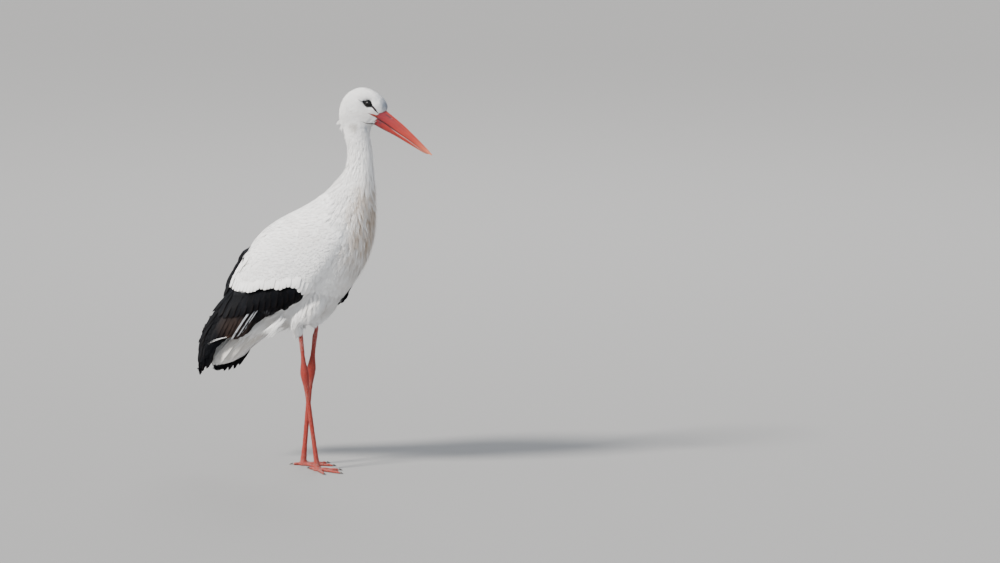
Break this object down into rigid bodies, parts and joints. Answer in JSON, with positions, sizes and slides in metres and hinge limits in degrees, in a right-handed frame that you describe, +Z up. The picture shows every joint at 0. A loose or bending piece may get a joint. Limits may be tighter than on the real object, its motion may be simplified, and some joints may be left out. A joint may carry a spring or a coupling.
{
  "type": "white stork",
  "caption": "Life-size still white stork standing at rest: long red bill, white plumage, black flight feathers and long bare red legs.",
  "frame": {"origin": "on the floor, under the middle of the bird's box", "axes": "+X the way the bird faces, +Y its left side, +Z up"},
  "size_m": [0.6061, 0.2117, 0.9549],
  "materials": {
    "plumage_white": "soft matt white feathers, faintly buff",
    "plumage_black": "black flight feathers with a soft sheen, browner where worn",
    "bill_red": "smooth horn, crimson at the root and orange at the tip",
    "leg_red": "scaly coral red skin",
    "claw_horn": "dull dark brown horn",
    "eye_dark": "wet, nearly black brown"
  },
  "bodies": {
    "root": {"wing_right_coverts": "plumage_white", "wing_right_secondaries": "plumage_black", "wing_right_primaries": "plumage_black", "wing_left_coverts": "plumage_white", "wing_left_secondaries": "plumage_black", "wing_left_primaries": "plumage_black", "head": "plumage_white", "neck_upper": "plumage_white", "neck_lower": "plumage_white", "trunk": "plumage_white", "eye_right": "eye_dark", "eye_left": "eye_dark", "bill_upper": "bill_red", "bill_lower": "bill_red", "tail": "plumage_white", "thigh_right": "plumage_white", "shank_right": "leg_red", "heel_right": "leg_red", "tarsus_right": "leg_red", "foot_right": "leg_red", "toe_right_hallux": "leg_red", "claw_right_hallux": "claw_horn", "toe_right_inner": "leg_red", "claw_right_inner": "claw_horn", "toe_right_middle": "leg_red", "claw_right_middle": "claw_horn", "toe_right_outer": "leg_red", "claw_right_outer": "claw_horn", "thigh_left": "plumage_white", "shank_left": "leg_red", "heel_left": "leg_red", "tarsus_left": "leg_red", "foot_left": "leg_red", "toe_left_hallux": "leg_red", "claw_left_hallux": "claw_horn", "toe_left_inner": "leg_red", "claw_left_inner": "claw_horn", "toe_left_middle": "leg_red", "claw_left_middle": "claw_horn", "toe_left_outer": "leg_red", "claw_left_outer": "claw_horn"}
  },
  "joints": []
}
